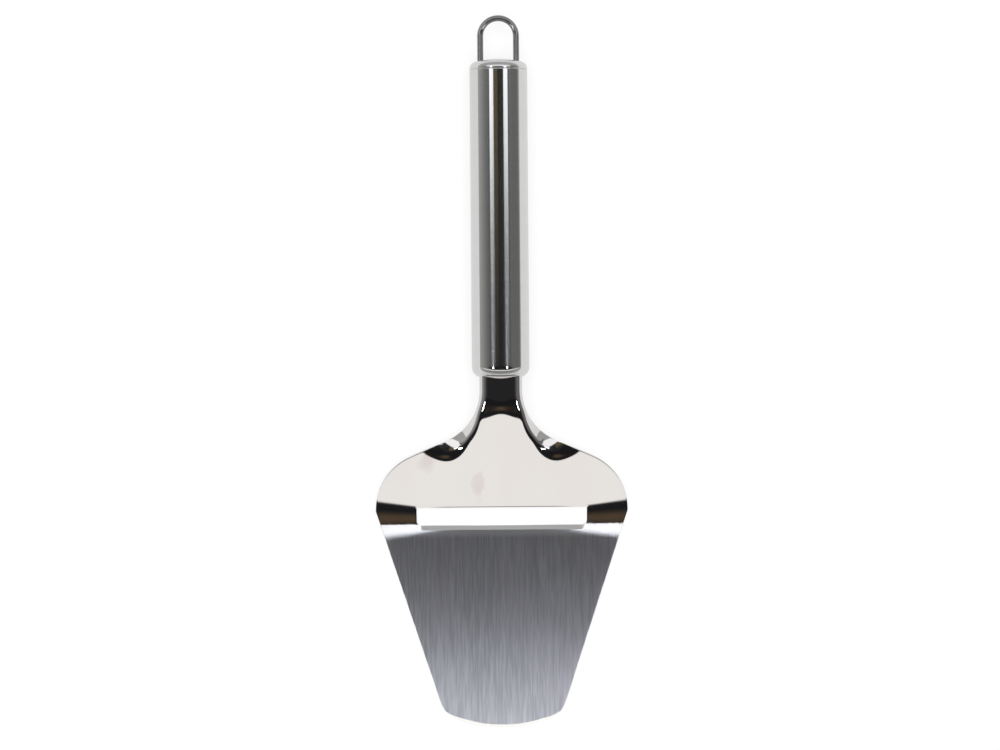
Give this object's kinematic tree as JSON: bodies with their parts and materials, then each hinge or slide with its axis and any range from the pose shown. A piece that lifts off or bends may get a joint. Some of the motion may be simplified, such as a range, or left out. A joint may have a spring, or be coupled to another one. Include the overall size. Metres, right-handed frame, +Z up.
{
  "type": "cheese slicer",
  "caption": "Cheese slicer with a tapered flat blade, a wide cutting slot, a bent shoulder and rolled neck, on a hollow round handle with a wire hanging loop.",
  "frame": {"origin": "middle of the slicer's length and width, on the plane that its blade and its handle lie on", "axes": "+Y along the handle towards the hanging loop, +Z up from the blade's underside, +X to the right seen from above with the loop away from the viewer"},
  "size_m": [0.0834, 0.2354, 0.019],
  "materials": {
    "head_steel": "mirror-polished shoulder and neck, blade brushed along its length",
    "handle_steel": "polished around its girth, with fine ring marks",
    "cap_steel": "polished",
    "loop_steel": "drawn wire, lightly polished",
    "weld_steel": "bare weld"
  },
  "bodies": {
    "root": {"slicer_head": "head_steel", "handle_shell": "handle_steel", "end_cap": "cap_steel", "hanging_loop": "loop_steel", "tang_welds": "weld_steel", "loop_welds": "weld_steel"}
  },
  "joints": []
}
